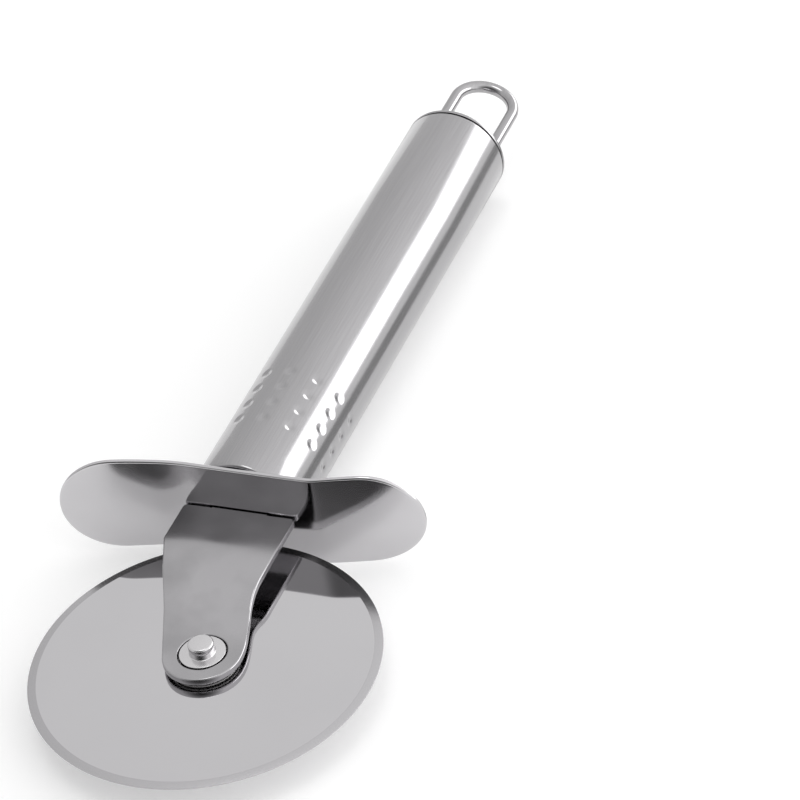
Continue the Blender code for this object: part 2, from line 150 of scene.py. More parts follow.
class PizzaCutterArm(bpy.types.PropertyGroup):
    """Sizes of the arm that carries the wheel."""

    thickness: length("Thickness", "Thickness of the plate", 0.0015)
    half_width: length("Half width", "Half the width at the guard", 0.0118)
    eye_wall: length("Eye wall", "Width of the plate round the axle's hole", 0.003)
    neck_reach: length("Neck", "Where the right side becomes straight", 0.016)
    square_length: length("Square length", "Straight length of the left side", 0.0102)
    corner_radius: length("Corner", "Rounding of the shoulders", 0.0008)
    edge_round: length("Edge", "Rounding of the edges", 0.0003)
    joggle_start: length("Joggle start", "Where the joggle starts", 0.0085)
    joggle_length: length("Joggle length", "Length of the joggle", 0.011)
    joggle_rise: length("Joggle rise", "Height of the joggle", 0.0027)
    joggle_bend: share("Joggle bend", "Part of the joggle that each of its bends takes", 0.35)
    inner_height: length("Inner height", "From the wheel's middle plane to the plate", 0.0013)
    tang_length: length("Tang", "Length of the tang from the guard", 0.0165)
    tang_half_width: length("Tang half width", "Half the width of the tang", 0.00611)


class PizzaCutterGuard(bpy.types.PropertyGroup):
    """Sizes of the finger guard."""

    clearance: length("Clearance", "From the wheel's rim to the guard", 0.0028)
    thickness: length("Thickness", "Thickness of the plate", 0.001)
    waist: length("Waist", "Half the height between the wings", 0.0113)
    waist_flat: length("Waist flat", "Half the length of the straight waist", 0.011)
    wing_centre: length("Wing centre", "From the handle's axis to the centre of a wing's round end", 0.025)
    wing_radius: length("Wing radius", "Radius of a wing's round end", 0.0116)
    wing_dish: length("Wing dish", "Depth of a wing's dish", 0.0005)
    right_start: length("Right bend start", "From the handle's axis to the right wing's bend", 0.0144)
    right_bend: length("Right bend", "Length of the bend between waist and right wing", 0.004)
    left_start: length("Left bend start", "From the handle's axis to the left wing's bend", 0.0072)
    left_bend: length("Left bend", "Length of the bend between waist and left wing", 0.01)
    wing_slope: share("Wing slope", "Slope of the right wing to the hand and of the left one away", 0.25)
    wing_twist: share("Wing twist", "Lean of the wings across their height", 0.02)
    twist_length: length("Twist length", "From a wing's bend to its full twist", 0.016)
    top_share: share("Top share", "Part of the height that is left above the slot", 0.94)
    bottom_share: share("Bottom share", "Part of the height that is left below the slot", 0.9)
    columns: count("Columns", "Cells along the guard", 220)
    rows: count("Rows", "Cells across the guard", 60)


class PizzaCutterHandle(bpy.types.PropertyGroup):
    """Sizes of the handle's tube, dimples and end cap."""

    radius: length("Radius", "Radius of the tube", 0.011)
    wall: length("Wall", "Wall of the tube", 0.0009)
    tube_length: length("Length", "Length of the tube", 0.1165)
    mouth_round: length("Mouth", "Rounding of the tube's mouth at the guard", 0.0007)
    end_round: length("End", "Rounding of the tube's mouth at the cap", 0.0003)
    dimple_radius: length("Dimple radius", "Radius of a dimple", 0.0016)
    dimple_depth: length("Dimple depth", "Depth of a dimple", 0.0003)
    dimple_pitch: length("Dimple pitch", "From ring to ring", 0.0048)
    dimple_start: length("Dimple start", "From the mouth to the first ring", 0.0149)
    dimple_rings: count("Rings", "Rings of dimples", 4)
    dimples_per_ring: count("Dimples", "Dimples in a ring", 12)
    cap_lip: length("Cap lip", "Thickness of the cap's lip", 0.0009)
    cap_round: length("Cap rounding", "Rounding of the cap's lip", 0.0004)
    cap_skirt: length("Cap skirt", "Wall of the cap's skirt", 0.0008)
    cap_depth: length("Cap depth", "Depth of the cap's skirt", 0.006)
    sides: count("Sides", "Steps round the tube", 256)


class PizzaCutterLoop(bpy.types.PropertyGroup):
    """Sizes of the hanging loop."""

    wire_radius: length("Wire", "Radius of the wire", 0.0013)
    half_width: length("Half width", "From the handle's axis to a leg's centre line", 0.0063)
    reach: length("Reach", "From the tube's end to the outside of the bow", 0.0255)
    foot_length: length("Foot", "Length of the feet under the cap", 0.0016)
    turn: FloatProperty(
        name="Turn", description="Turn about the handle's axis", default=radians(17), unit="ROTATION"
    )
    sides: count("Sides", "Steps round the wire", 32)


class PizzaCutterFinish(bpy.types.PropertyGroup):
    """Colours of the finishes."""

    mirror: colour("Mirror steel", "Polished steel of wheel and guard", (0.6, 0.59, 0.605))
    arm: colour("Arm steel", "Duller polish of the arm", (0.46, 0.452, 0.465))
    satin: colour("Satin steel", "Satin steel of tube and cap", (0.41, 0.404, 0.413))
    wire: colour("Bright wire", "Drawn wire of the loop", (0.42, 0.413, 0.422))
    turned: colour("Turned steel", "Turned steel of the axle", (0.66, 0.65, 0.66))
    pale: colour("Pale nylon", "Washers", (0.8, 0.8, 0.78))
    dark: colour("Dark nylon", "Plug in the handle", (0.06, 0.06, 0.06))


class PizzaCutterStudio(bpy.types.PropertyGroup):
    """Floor, lamps and camera."""

    floor_radius: length("Floor radius", "Radius of the round floor", 4)
    floor_tone: share("Floor tone", "Part of the light that the floor gives back", 0.78)
    floor_glow: share("Floor glow", "Light added where the floor is seen or mirrored", 0.3)
    lamp_distance: length("Lamp distance", "From the tool to the softbox", 1.4)
    lamp_width: length("Lamp width", "Width of the softbox", 2.6)
    lamp_height: length("Lamp height", "Height of the softbox", 0.62)
    lamp_light: level("Lamp light", "Brightness of the softbox", 2.3)
    sky: level("Sky", "Light of the world all round", 1.27)
    sky_slant: share("Sky slant", "How much brighter the right and darker the left is", 0.35)
    patch: share("Patch", "Light in the middle of the dark patch", 0.03)
    patch_edge: share("Patch edge", "Cosine of the dark patch's angular radius", 0.6)
    overhead: level("Overhead", "Light added right above the tool", 3)
    overhead_edge: share("Overhead edge", "Height on a dome of radius one where it starts", 0.98)
    overhead_full: share("Overhead full", "Height on that dome where it is full", 0.99)
    strip_place: length("Strip place", "Sideways from the origin to the strip's middle", 0.037)
    strip_station: length("Strip station", "Along the handle to the strip's middle", 0.07)
    strip_half_width: length("Strip half width", "Half the strip's width", 0.013)
    strip_half_length: length("Strip half length", "Half the strip's length", 0.09)
    strip_height: length("Strip height", "Height of the strip over the floor", 0.0002)
    strip_tone: share("Strip tone", "Brightness of the strip", 0.45)
    lens: level("Lens", "Focal length in millimetres", 203.5)


class PizzaCutterSettings(bpy.types.PropertyGroup):
    """All sizes and finishes of the pizza cutter."""

    wheel: PointerProperty(type=PizzaCutterWheel)
    axle: PointerProperty(type=PizzaCutterAxle)
    arm: PointerProperty(type=PizzaCutterArm)
    guard: PointerProperty(type=PizzaCutterGuard)
    handle: PointerProperty(type=PizzaCutterHandle)
    loop: PointerProperty(type=PizzaCutterLoop)
    finish: PointerProperty(type=PizzaCutterFinish)
    studio: PointerProperty(type=PizzaCutterStudio)


# Places of the pieces


def axle_place():
    """Frame with its origin on the axle in the wheel's middle plane, Z along the axle."""
    rows = Matrix((ACROSS, ALONG, AXLE_AXIS)).transposed().to_4x4()
    return Matrix.Translation(AXLE_POINT) @ rows


def tool_place(settings):
    """Frame with the handle's axis as Y and its origin level with the axle."""
    axle = settings.axle
    return axle_place() @ Matrix.Translation((-axle.offset, 0, axle.drop))


def handle_place(settings, station):
    """Frame whose Z runs along the handle from a station on its axis."""
    return tool_place(settings) @ Matrix.Translation((0, station, 0)) @ Matrix.Rotation(-pi / 2, 4, "X")


def guard_station(settings):
    """Where the guard's front face stands along the handle."""
    return settings.wheel.radius + settings.guard.clearance


def tube_station(settings):
    """Where the tube starts along the handle."""
    return guard_station(settings) + settings.guard.thickness + FIT_GAP


# Shapes


def smooth_step(value):
    """Rises from 0 to 1 with level ends."""
    value = min(max(value, 0), 1)
    return value * value * (3 - 2 * value)


def ramp(value, bend):
    """Rises from 0 to 1 in a straight line between two bends."""
    value = min(max(value, 0), 1)
    if value > 0.5:
        return 1 - ramp(1 - value, bend)
    rise = value * value / (2 * bend) if value < bend else value - bend / 2
    return rise / (1 - bend)


def arc(centre, radius, start, end, steps):
    """Points of an arc in a plane, both ends included."""
    points = []
    for step in range(steps + 1):
        angle = start + (end - start) * step / steps
        points.append((centre[0] + radius * cos(angle), centre[1] + radius * sin(angle)))
    return points


def rounded(corners):
    """Polyline through (x, y, radius) corners, each rounded by its radius. The ends stay sharp."""
    points = []
    for index, (x, y, radius) in enumerate(corners):
        here = Vector((x, y))
        if radius == 0:
            points.append((x, y))
            continue
        before = (Vector(corners[index - 1][:2]) - here).normalized()
        after = (Vector(corners[(index + 1) % len(corners)][:2]) - here).normalized()
        half = before.angle(after) / 2
        centre = here + (before + after).normalized() * radius / sin(half)
        first = here + before * radius / tan(half) - centre
        last = here + after * radius / tan(half) - centre
        swing = first.angle_signed(last)
        for step in range(ROUND_STEPS + 1):
            turned_ray = first.copy()
            turned_ray.rotate(Matrix.Rotation(-swing * step / ROUND_STEPS, 2))
            points.append(tuple(centre + turned_ray))
    return points


def turned(profile, sides):
    """Revolves a profile of (radius, height) about Z. Ends that lie on the axis close by themselves."""
    bm = bmesh.new()
    corners = [bm.verts.new((radius, 0, height)) for radius, height in profile]
    lines = []
    for here, there in zip(corners, corners[1:] + corners[:1]):
        if max(here.co.x, there.co.x) > WELD:
            lines.append(bm.edges.new((here, there)))
    bmesh.ops.spin(
        bm, geom=corners + lines, cent=(0, 0, 0), axis=(0, 0, 1), angle=2 * pi, steps=sides, use_merge=True
    )
    tidy(bm)
    return bm


def tidy(bm):
    """Joins doubled points and turns all faces outwards."""
    bmesh.ops.remove_doubles(bm, verts=bm.verts, dist=WELD)
    bmesh.ops.dissolve_degenerate(bm, edges=bm.edges, dist=WELD / 2)
    bmesh.ops.recalc_face_normals(bm, faces=bm.faces)


def finished(name, bm, place, material, body, node, weighted=False):
    """Makes the object of a finished shape, puts its place in its mesh and ties it to the frame."""
    bmesh.ops.transform(bm, matrix=place, verts=bm.verts)
    mesh = bpy.data.meshes.new(name)
    bm.to_mesh(mesh)
    bm.free()
    mesh.shade_smooth()
    mesh.set_sharp_from_angle(angle=SHARP_ANGLE)
    mesh.materials.append(material)
    piece = bpy.data.objects.new(name, mesh)
    bpy.context.scene.collection.objects.link(piece)
    if weighted:
        normals = piece.modifiers.new("flat faces", "WEIGHTED_NORMAL")
        normals.keep_sharp = True
    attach(piece, body)
    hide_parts(node)
    return piece


def cut_sheet(bm, stations, normal):
    """Cuts a sheet across at each station along the normal."""
    for station in stations:
        everything = bm.verts[:] + bm.edges[:] + bm.faces[:]
        bmesh.ops.bisect_plane(bm, geom=everything, dist=WELD, plane_co=normal * station, plane_no=normal)


def thicken(bm, offset):
    """Gives a sheet its second side and its edge walls."""
    far = bmesh.ops.extrude_face_region(bm, geom=bm.faces[:], use_keep_orig=True)
    far_verts = [item for item in far["geom"] if isinstance(item, bmesh.types.BMVert)]
    bmesh.ops.translate(bm, verts=far_verts, vec=offset)


# Materials


class Nodes:
    """A node tree that is being drawn up."""

    def __init__(self, tree):
        self.tree = tree

    def add(self, kind, **values):
        """A new node with its settings and constant inputs."""
        node = self.tree.nodes.new(kind)
        for key, value in values.items():
            if hasattr(node, key):
                setattr(node, key, value)
            else:
                node.inputs[key].default_value = value
        return node

    def link(self, output, target):
        """Joins an output to an input."""
        self.tree.links.new(output, target)

    def math(self, operation, *operands):
        """Result of a math node on values or outputs."""
        node = self.add("ShaderNodeMath", operation=operation)
        for socket, value in zip(node.inputs, operands):
            if isinstance(value, bpy.types.NodeSocket):
                self.link(value, socket)
            else:
                socket.default_value = value
        return node.outputs[0]

    def between(self, value, low, high, start=0, end=1):
        """Maps a value that runs from start to end to one from low to high."""
        node = self.add("ShaderNodeMapRange")
        node.inputs["From Min"].default_value = start
        node.inputs["From Max"].default_value = end
        node.inputs["To Min"].default_value = low
        node.inputs["To Max"].default_value = high
        self.link(value, node.inputs["Value"])
        return node.outputs[0]

    def split(self, vector):
        """The three parts of a vector."""
        node = self.add("ShaderNodeSeparateXYZ")
        self.link(vector, node.inputs[0])
        return node.outputs


class Finish(Nodes):
    """A material whose patterns read the piece's own object coordinates."""

    def __init__(self, name, base, roughness, metallic=1):
        self.material = bpy.data.materials.new(name)
        self.material.use_nodes = True
        super().__init__(self.material.node_tree)
        self.shader = self.tree.nodes["Principled BSDF"]
        self.shader.inputs["Base Color"].default_value = (*base, 1)
        self.shader.inputs["Metallic"].default_value = metallic
        self.shader.inputs["Roughness"].default_value = roughness
        self.place = self.add("ShaderNodeTexCoord").outputs["Object"]

    def mapped(self, scale, centre=(0, 0, 0)):
        """Object coordinates from a centre, scaled."""
        node = self.add("ShaderNodeMapping", vector_type="TEXTURE")
        node.inputs["Location"].default_value = centre
        node.inputs["Scale"].default_value = tuple(1 / value for value in scale)
        self.link(self.place, node.inputs["Vector"])
        return node.outputs[0]

    def noise(self, scale, detail, centre=(0, 0, 0)):
        """Noise with so many waves in a metre along each axis."""
        node = self.add("ShaderNodeTexNoise", Scale=1, Detail=detail)
        self.link(self.mapped(scale, centre), node.inputs["Vector"])
        return node.outputs["Fac"]

    def tint(self, value, low, high):
        """Colours the surface from one colour to another."""
        node = self.add("ShaderNodeMix", data_type="RGBA")
        first, second = [socket for socket in node.inputs if socket.type == "RGBA"]
        first.default_value = (*low, 1)
        second.default_value = (*high, 1)
        self.link(value, node.inputs["Factor"])
        result = [socket for socket in node.outputs if socket.type == "RGBA"][0]
        self.link(result, self.shader.inputs["Base Color"])

    def tint_by(self, pattern, base, factor):
        """Darkens the base colour by a factor where a pattern is low."""
        self.tint(self.between(pattern, 0, 1, PATTERN_START, PATTERN_END), darker(base, factor), base)

    def rough(self, value):
        """Sets the roughness from a pattern."""
        self.link(value, self.shader.inputs["Roughness"])

    def bump(self, value, height, strength):
        """Raises the surface by a pattern."""
        node = self.add("ShaderNodeBump", Distance=height, Strength=strength)
        self.link(value, node.inputs["Height"])
        self.link(node.outputs[0], self.shader.inputs["Normal"])


def darker(base, factor):
    """A darker tone of a colour."""
    return tuple(value * factor for value in base)


def mirror_steel(name, base, shine, cloud):
    """Polished sheet steel with smears that dull it and darken it by a factor."""
    finish = Finish(name, base, shine)
    smears = finish.noise((60, 60, 60), 4)
    finish.tint_by(smears, base, cloud)
    finish.rough(finish.between(smears, shine, shine * 2.2, 0.4, 0.75))
    return finish.material


def wheel_steel(name, base, wheel):
    """Mirror-polished disc with a ground bevel at its rim."""
    finish = Finish(name, base, 0.04)
    from_axle = finish.split(finish.mapped((1, 1, 1), AXLE_POINT))
    squares = [finish.math("POWER", from_axle[axis], 2) for axis in ("X", "Y")]
    distance = finish.math("SQRT", finish.math("ADD", *squares))
    bevel = finish.math("GREATER_THAN", distance, wheel.radius - wheel.bevel_width)
    grinding = finish.noise((2600, 2600, 2600), 1, AXLE_POINT)
    smears = finish.noise((45, 45, 45), 4)
    roughness = finish.add("ShaderNodeMix")
    finish.link(bevel, roughness.inputs["Factor"])
    finish.link(finish.between(smears, 0.025, 0.06, PATTERN_START, 0.75), roughness.inputs["A"])
    finish.link(finish.between(grinding, 0.16, 0.3), roughness.inputs["B"])
    finish.rough(roughness.outputs[0])
    shade = finish.between(smears, 0.88, 1, PATTERN_START, PATTERN_END)
    polished = finish.math("SUBTRACT", 1, bevel)
    finish.tint(finish.math("MULTIPLY", shade, polished), darker(base, 0.82), base)
    return finish.material


def satin_steel(name, base):
    """Steel brushed along the handle."""
    finish = Finish(name, base, 0.24)
    lines = finish.noise((5200, 70, 5200), 3)
    clouds = finish.noise((90, 30, 90), 2)
    finish.tint_by(lines, base, 0.93)
    finish.rough(finish.math("ADD", finish.between(lines, 0.11, 0.16), finish.between(clouds, 0, 0.03)))
    finish.bump(lines, 0.000004, 0.6)
    return finish.material


def turned_steel(name, base, place):
    """Turned steel with fine rings round the axle."""
    finish = Finish(name, base, 0.2)
    waves = finish.add(
        "ShaderNodeTexWave", wave_type="RINGS", rings_direction="Z", Scale=900, Distortion=1.5
    )
    finish.link(finish.mapped((1, 1, 1), place), waves.inputs["Vector"])
    finish.rough(finish.between(waves.outputs["Fac"], 0.14, 0.24))
    finish.bump(waves.outputs["Fac"], 0.000003, 0.5)
    return finish.material


def drawn_wire(name, base):
    """Bright wire with faint lines of the drawing die."""
    finish = Finish(name, base, 0.12)
    lines = finish.noise((1800, 200, 1800), 2)
    finish.tint_by(lines, base, 0.92)
    finish.rough(finish.between(lines, 0.07, 0.14))
    return finish.material


def moulded_nylon(name, base):
    """Matt nylon with a fine grain."""
    finish = Finish(name, base, 0.5, metallic=0)
    grain = finish.noise((4000, 4000, 4000), 2)
    finish.tint(grain, darker(base, 0.85), base)
    finish.rough(finish.between(grain, 0.42, 0.58))
    finish.bump(grain, 0.00001, 0.4)
    return finish.material


# Pieces


class PizzaCutterOperator:
    """What all operators of the tool share."""

    bl_options = {"REGISTER", "UNDO"}

    def execute(self, context):
        """Builds the piece with the settings of the scene."""
        self.build(context.scene.pizza_cutter)
        return {"FINISHED"}


class MESH_OT_cutting_wheel(PizzaCutterOperator, bpy.types.Operator):
    """Builds the thin disc with its ground bevel"""

    bl_idname = "mesh.pizza_cutting_wheel"
    bl_label = "Cutting Wheel"

    def build(self, settings):
        """Revolves the disc's section."""
        wheel = settings.wheel
        bore = settings.axle.radius + FIT_GAP
        half = wheel.thickness / 2
        rim = wheel.rim_thickness / 2
        shoulder = wheel.radius - wheel.bevel_width
        profile = rounded(
            [
                (bore, -half, 0),
                (bore, half, 0),
                (shoulder, half, 0),
                (wheel.radius, rim, rim / 2),
                (wheel.radius, -rim, rim / 2),
                (shoulder, -half, 0),
            ]
        )
        steel = wheel_steel("wheel_steel", settings.finish.mirror, wheel)
        disc = turned(profile, wheel.sides)
        piece = finished(
            "wheel_disc", disc, axle_place(), steel, "wheel", "cutting_wheel"
        )
        mark_bevel(piece.data, shoulder)


def mark_bevel(mesh, shoulder):
    """Keeps the line between the disc's flat and its bevel crisp."""
    for edge in mesh.edges:
        ends = [(mesh.vertices[index].co - AXLE_POINT).length for index in edge.vertices]
        if max(abs(reach - shoulder) for reach in ends) < FIT_GAP / 2:
            edge.use_edge_sharp = True


class MESH_OT_axle(PizzaCutterOperator, bpy.types.Operator):
    """Builds the axle with its stub above the arm and its head under the wheel"""

    bl_idname = "mesh.pizza_axle"
    bl_label = "Axle"

    def build(self, settings):
        """Revolves the axle's section."""
        axle = settings.axle
        arm = settings.arm
        body = arm.inner_height + arm.thickness
        tip = body + axle.stub_length
        head = axle.radius + axle.head_width
        depth = arm.inner_height + axle.head_thickness
        profile = rounded(
            [
                (0, tip, 0),
                (axle.stub_radius, tip, axle.stub_chamfer),
                (axle.stub_radius, body, FIT_GAP / 2),
                (axle.radius, body, FIT_GAP / 3),
                (axle.radius, -arm.inner_height, 0),
                (head, -arm.inner_height, FIT_GAP / 3),
                (head, -depth, axle.stub_chamfer),
                (0, -depth, 0),
            ]
        )
        steel = turned_steel("turned_steel", settings.finish.turned, AXLE_POINT)
        pin = turned(profile, axle.sides)
        finished("axle_body", pin, axle_place(), steel, "handle", "axle_pin")


class MESH_OT_wheel_arm(PizzaCutterOperator, bpy.types.Operator):
    """Builds the stamped arm that carries the wheel"""

    bl_idname = "mesh.pizza_wheel_arm"
    bl_label = "Wheel Arm"

    def outline(self, settings):
        """Edge of the flat blank, starting where the left side meets the round end."""
        arm = settings.arm
        offset = settings.axle.offset
        eye = settings.axle.radius + FIT_GAP + arm.eye_wall
        shoulder = guard_station(settings) - FIT_GAP
        taper = shoulder - arm.square_length
        across = offset + arm.half_width
        tangent = atan2(taper, -across) + acos(eye / hypot(across, taper))
        points = arc((offset, 0), eye, tangent, 2 * pi, EYE_STEPS)
        for step in range(1, NECK_STEPS + 1):
            part = step / NECK_STEPS
            x = offset + eye + (arm.half_width - offset - eye) * smooth_step(part)
            points.append((x, arm.neck_reach * part))
        radius = arm.corner_radius
        corner = arc((arm.half_width - radius, shoulder - radius), radius, 0, pi / 2, CORNER_STEPS)
        tang = arm.tang_half_width
        end = guard_station(settings) + arm.tang_length
        right = corner + [(tang, shoulder), (tang, end)]
        left = [(-x, y) for x, y in reversed(right)]
        knee = rounded(
            [(-arm.half_width, shoulder, 0), (-arm.half_width, taper, radius), (*points[0], 0)]
        )
        return points + right + left + knee[1:-1]

    def build(self, settings):
        """Fills the blank, cuts it into strips, bends it and rounds its edges."""
        arm = settings.arm
        hole = arc((settings.axle.offset, 0), settings.axle.radius + FIT_GAP, 0, 2 * pi, EYE_STEPS)[:-1]
        bm = bmesh.new()
        for points in (self.outline(settings), hole):
            corners = [bm.verts.new((x, y, -arm.thickness / 2)) for x, y in points]
            for here, there in zip(corners, corners[1:] + corners[:1]):
                bm.edges.new((here, there))
        bmesh.ops.triangle_fill(bm, edges=bm.edges[:], use_beauty=True, use_dissolve=False)
        bmesh.ops.dissolve_limit(bm, angle_limit=FLAT_ANGLE, verts=bm.verts, edges=bm.edges)
        pitch = arm.joggle_length / JOGGLE_STEPS
        stations = [arm.joggle_start + pitch * step for step in range(JOGGLE_STEPS + 1)]
        cut_sheet(bm, stations, Vector((0, 1, 0)))
        thicken(bm, (0, 0, arm.thickness))
        bmesh.ops.recalc_face_normals(bm, faces=bm.faces)
        rims = [edge for edge in bm.edges if edge.calc_face_angle(0) > RIM_ANGLE and is_level(edge)]
        bmesh.ops.bevel(
            bm,
            geom=rims,
            offset=arm.edge_round,
            offset_type="OFFSET",
            segments=RIM_STEPS,
            profile=0.5,
            affect="EDGES",
            clamp_overlap=False,
            material=-1,
        )
        for vert in bm.verts:
            part = (vert.co.y - arm.joggle_start) / arm.joggle_length
            vert.co.z += arm.joggle_rise * (ramp(part, arm.joggle_bend) - 1)
        tidy(bm)
        steel = mirror_steel("arm_steel", settings.finish.arm, shine=0.1, cloud=0.76)
        finished(
            "arm_plate", bm, tool_place(settings), steel, "handle", "wheel_arm", weighted=True
        )


def is_level(edge):
    """True for an edge that lies flat in the sheet."""
    first, second = edge.verts
    return abs(first.co.z - second.co.z) < WELD


class MESH_OT_finger_guard(PizzaCutterOperator, bpy.types.Operator):
    """Builds the bone-shaped guard with its dished wings"""

    bl_idname = "mesh.pizza_finger_guard"
    bl_label = "Finger Guard"

    def place_on_outline(self, guard, along, across):
        """Point of the flat blank for shares from -1 to 1 along and across it."""
        straight_share = guard.wing_centre / (guard.wing_centre + guard.wing_radius * pi / 2)
        side = 1 if along > 0 else -1
        along = abs(along)
        across = sin(across * pi / 2)
        if along <= straight_share:
            x = guard.wing_centre * along / straight_share
            half = self.half_height(guard, x)
        else:
            angle = (along - straight_share) / (1 - straight_share) * pi / 2
            x = guard.wing_centre + guard.wing_radius * sin(angle)
            half = guard.wing_radius * cos(angle)
        return side * x, across * half

    def half_height(self, guard, x):
        """Half the blank's height between the centres of its round ends."""
        swell = smooth_step((x - guard.waist_flat) / (guard.wing_centre - guard.waist_flat))
        return guard.waist + (guard.wing_radius - guard.waist) * swell

    def lean(self, guard, x, z):
        """How far the guard leans towards the hand."""
        right = x > 0
        past = max(abs(x) - (guard.right_start if right else guard.left_start), 0)
        bend = guard.right_bend if right else guard.left_bend
        beyond = max(abs(x) - guard.wing_centre, 0)
        start = smooth_step(past / guard.twist_length)
        dish = guard.wing_dish * (beyond * beyond + start * z * z) / guard.wing_radius ** 2
        sweep = guard.wing_slope * self.bent(past, bend) - guard.wing_twist * start * z
        return dish + (sweep if right else -sweep)

    def bent(self, past, bend):
        """Rise of a sheet that bends softly over a length and then runs straight at a slope of one."""
        part = min(past / bend, 1)
        return bend * (part**3 - part**4 / 2) + max(past - bend, 0)

    def edge_round(self, guard, x, z):
        """How far both faces draw in near the rounded edge."""
        if abs(x) > guard.wing_centre:
            inset = guard.wing_radius - hypot(abs(x) - guard.wing_centre, z)
        else:
            inset = self.half_height(guard, abs(x)) - abs(z)
        radius = guard.thickness / 2
        short = min(max(1 - inset / radius, 0), 1)
        return radius * (1 - sqrt(1 - short * short))

    def build(self, settings):
        """Bends a fine grid to the outline, cuts the slot and leans the wings."""
        guard = settings.guard
        arm = settings.arm
        bm = bmesh.new()
        bmesh.ops.create_grid(bm, x_segments=guard.columns, y_segments=guard.rows, size=1)
        for vert in bm.verts:
            vert.co = (*self.place_on_outline(guard, vert.co.x, vert.co.y), 0)
        bmesh.ops.remove_doubles(bm, verts=bm.verts, dist=WELD)
        slot = (arm.tang_half_width + FIT_GAP, arm.thickness / 2 + FIT_GAP)
        cut_sheet(bm, (-slot[0], slot[0]), Vector((1, 0, 0)))
        cut_sheet(bm, (-slot[1], slot[1]), Vector((0, 1, 0)))
        inside = []
        for face in bm.faces:
            centre = face.calc_center_median()
            if abs(centre.x) < slot[0] and abs(centre.y) < slot[1]:
                inside.append(face)
        bmesh.ops.delete(bm, geom=inside, context="FACES")
        front = set(bm.verts)
        thicken(bm, (0, 0, 0))
        for vert in bm.verts:
            x, z, _ = vert.co
            lean = self.lean(guard, x, z)
            drawn_in = self.edge_round(guard, x, z)
            depth = lean + drawn_in if vert in front else lean + guard.thickness - drawn_in
            kept = guard.top_share if z > 0 else guard.bottom_share
            edge = min(max(z, -slot[1]), slot[1])
            vert.co = (x, depth, edge + (z - edge) * kept)
        tidy(bm)
        steel = mirror_steel("guard_steel", settings.finish.mirror, shine=0.08, cloud=0.94)
        place = tool_place(settings) @ Matrix.Translation((0, guard_station(settings), 0))
        finished("guard_plate", bm, place, steel, "handle", "finger_guard")


class MESH_OT_handle_tube(PizzaCutterOperator, bpy.types.Operator):
    """Builds the tube with its pressed dimples"""

    bl_idname = "mesh.pizza_handle_tube"
    bl_label = "Handle Tube"

    def stations(self, handle):
        """Rows of points along the outside, close together where the dimples are."""
        first = handle.dimple_start - handle.dimple_radius
        last = handle.dimple_start + handle.dimple_pitch * (handle.dimple_rings - 1) + handle.dimple_radius
        rows = [first + (last - first) * step / DIMPLE_ROWS for step in range(DIMPLE_ROWS + 1)]
        return [first / 2] + rows + [(last * 2 + handle.tube_length) / 3, (last + 2 * handle.tube_length) / 3]

    def build(self, settings):
        """Revolves the tube's wall and presses the dimples."""
        handle = settings.handle
        inner = handle.radius - handle.wall
        end = handle.tube_length
        outside = [(handle.radius, height, 0) for height in reversed(self.stations(handle))]
        profile = rounded(
            [(inner, 0, 0), (inner, end, 0), (handle.radius, end, handle.end_round)]
            + outside
            + [(handle.radius, 0, handle.mouth_round)]
        )
        tube = turned(profile, handle.sides)
        pitch_angle = 2 * pi / handle.dimples_per_ring
        for vert in tube.verts:
            reach = hypot(vert.co.x, vert.co.y)
            if reach < handle.radius - WELD:
                continue
            angle = atan2(vert.co.y, vert.co.x)
            sideways = (angle - round(angle / pitch_angle) * pitch_angle) * handle.radius
            ring = round((vert.co.z - handle.dimple_start) / handle.dimple_pitch)
            ring = min(max(ring, 0), handle.dimple_rings - 1)
            lengthways = vert.co.z - handle.dimple_start - ring * handle.dimple_pitch
            away = hypot(sideways, lengthways) / handle.dimple_radius
            press = handle.dimple_depth * (1 - smooth_step(away))
            vert.co.x *= (reach - press) / reach
            vert.co.y *= (reach - press) / reach
        steel = satin_steel("satin_steel", settings.finish.satin)
        place = handle_place(settings, tube_station(settings))
        finished("tube_wall", tube, place, steel, "handle", "handle_tube")


